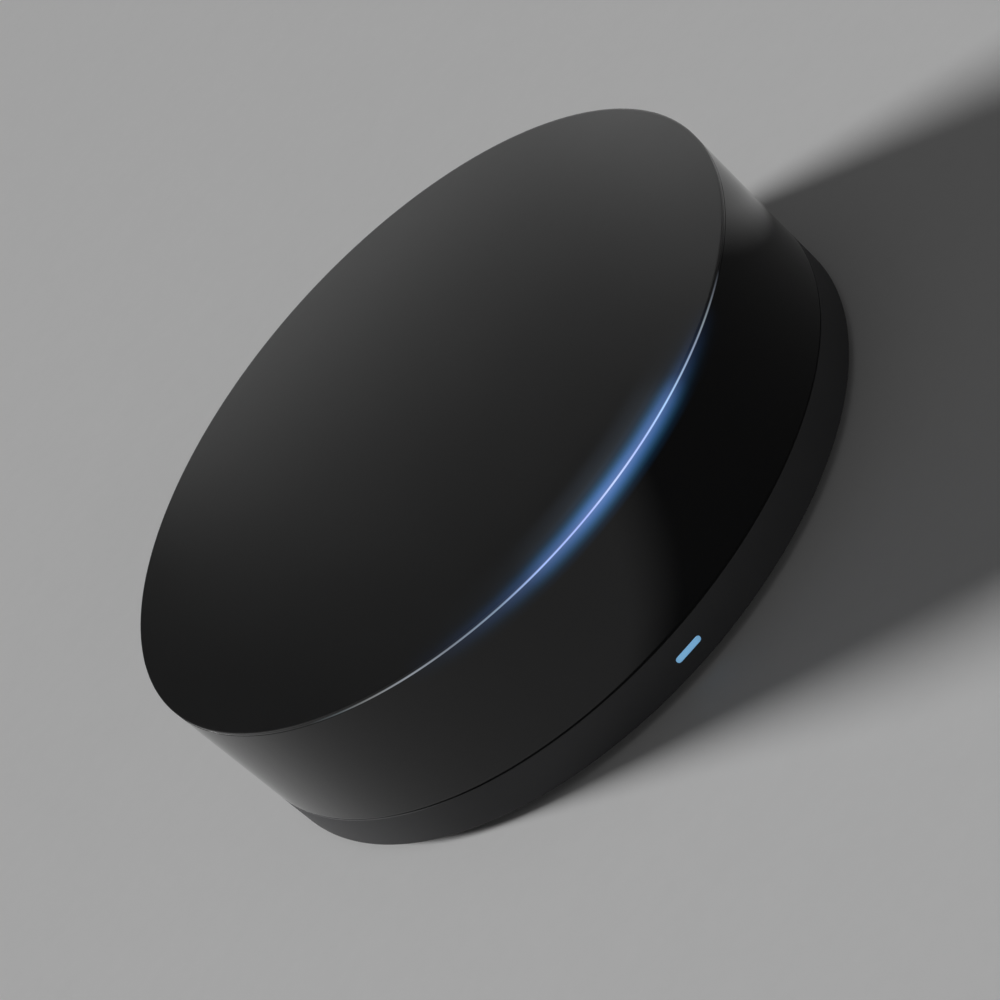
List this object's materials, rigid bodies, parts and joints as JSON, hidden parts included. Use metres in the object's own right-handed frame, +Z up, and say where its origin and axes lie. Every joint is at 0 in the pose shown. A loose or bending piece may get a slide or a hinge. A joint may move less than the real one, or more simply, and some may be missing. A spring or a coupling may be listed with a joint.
{
  "type": "smart ir blaster",
  "caption": "Round black infrared remote-control hub: matt lid over a glossy infrared-clear band, a line of light between them, and a matt base with power socket and reset button.",
  "frame": {"origin": "middle of the circle on which the foot ring stands, at the surface it rests on", "axes": "+Z up through the lid; the front, with the status light, faces -Y; the power socket and the reset hole face +Y"},
  "size_m": [0.107, 0.107, 0.0298],
  "materials": {
    "lid_plastic": "fine moulded texture, matt",
    "band_plastic": "polished, infrared-clear, black to the eye",
    "base_plastic": "fine moulded texture, matt",
    "light_guide": "smoked, emissive: lit pale blue from within along the front arc",
    "status_guide": "milky, emissive: lit pale blue",
    "foot_rubber": "matt",
    "screw_steel": "zinc plated",
    "sheet_steel": "tin plated",
    "circuit_board": "green solder mask over glass laminate",
    "module_board": "dark blue solder mask",
    "emitter_epoxy": "smoky clear epoxy",
    "dark_epoxy": "dark infrared filter epoxy",
    "led_white": "white with a yellow lens",
    "black_moulding": "matt",
    "contact_gold": "gold plated",
    "plunger_plastic": "matt",
    "chip_epoxy": "moulded epoxy",
    "pale_ceramic": "glazed",
    "ferrite": "grey ferrite",
    "can_aluminium": "satin",
    "resistor_black": "glazed",
    "tan_ceramic": "glazed"
  },
  "bodies": {
    "hub": {"top_cover": "lid_plastic", "light_guide_ring": "light_guide", "ir_window_band": "band_plastic", "base_shell": "base_plastic", "foot_ring": "foot_rubber", "status_window": "status_guide", "case_screws": "screw_steel", "board_screws": "screw_steel", "main_board": "circuit_board", "ir_emitter_1": "emitter_epoxy", "ir_emitter_2": "emitter_epoxy", "ir_emitter_3": "emitter_epoxy", "ir_emitter_4": "emitter_epoxy", "ir_emitter_5": "emitter_epoxy", "ir_emitter_6": "emitter_epoxy", "ir_receiver": "dark_epoxy", "ring_led_1": "led_white", "ring_led_2": "led_white", "ring_led_3": "led_white", "status_led": "led_white", "usb_shell": "sheet_steel", "usb_insert": "black_moulding", "usb_contacts": "contact_gold", "reset_switch_case": "black_moulding", "reset_switch_cover": "sheet_steel", "radio_board": "module_board", "radio_shield": "sheet_steel", "processor_chip": "chip_epoxy", "flash_chip": "chip_epoxy", "crystal": "sheet_steel", "chip_antenna": "pale_ceramic", "voltage_regulator": "chip_epoxy", "power_inductor": "ferrite", "bulk_capacitor_1": "can_aluminium", "bulk_capacitor_2": "can_aluminium", "driver_transistor_1": "chip_epoxy", "driver_transistor_2": "chip_epoxy", "driver_transistor_3": "chip_epoxy", "surge_diode": "chip_epoxy", "chip_resistors": "resistor_black", "chip_capacitors": "tan_ceramic"},
    "reset_button": {"reset_plunger": "plunger_plastic"}
  },
  "joints": [
    {"name": "reset_press", "type": "slide", "parent": "hub", "child": "reset_button", "axis": [0, -1, 0], "range_m": [0, 0.00025], "stiffness_N_per_m": 4000}
  ]
}
